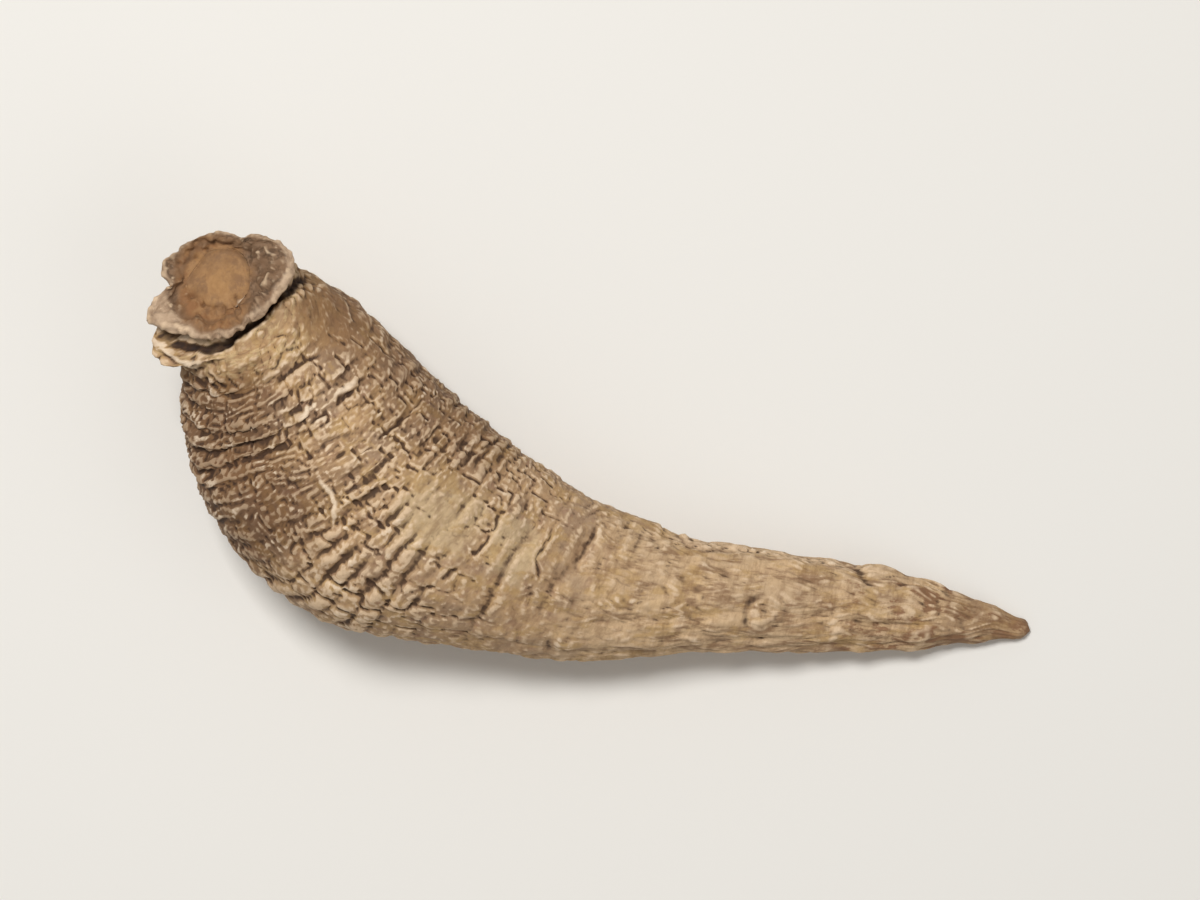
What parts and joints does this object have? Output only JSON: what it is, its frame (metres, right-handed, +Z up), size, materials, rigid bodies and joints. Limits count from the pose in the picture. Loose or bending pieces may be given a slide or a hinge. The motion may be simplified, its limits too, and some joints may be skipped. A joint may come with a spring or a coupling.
{
  "type": "ginseng root",
  "caption": "Dried ginseng root lying on its side: cupped stem scar on a short neck, thick ringed and wrinkled body, and a bent tapering tail.",
  "frame": {"origin": "centre of the bounding box in plan, on the surface the root rests on", "axes": "+X from the crown end towards the tail in plan, +Y to the side that the crown lies on, +Z up"},
  "size_m": [0.0622, 0.03, 0.0168],
  "materials": {
    "dried_root_skin": "dry, dull, tan skin with darker creases"
  },
  "bodies": {
    "root": {"ginseng_root": "dried_root_skin"}
  },
  "joints": []
}
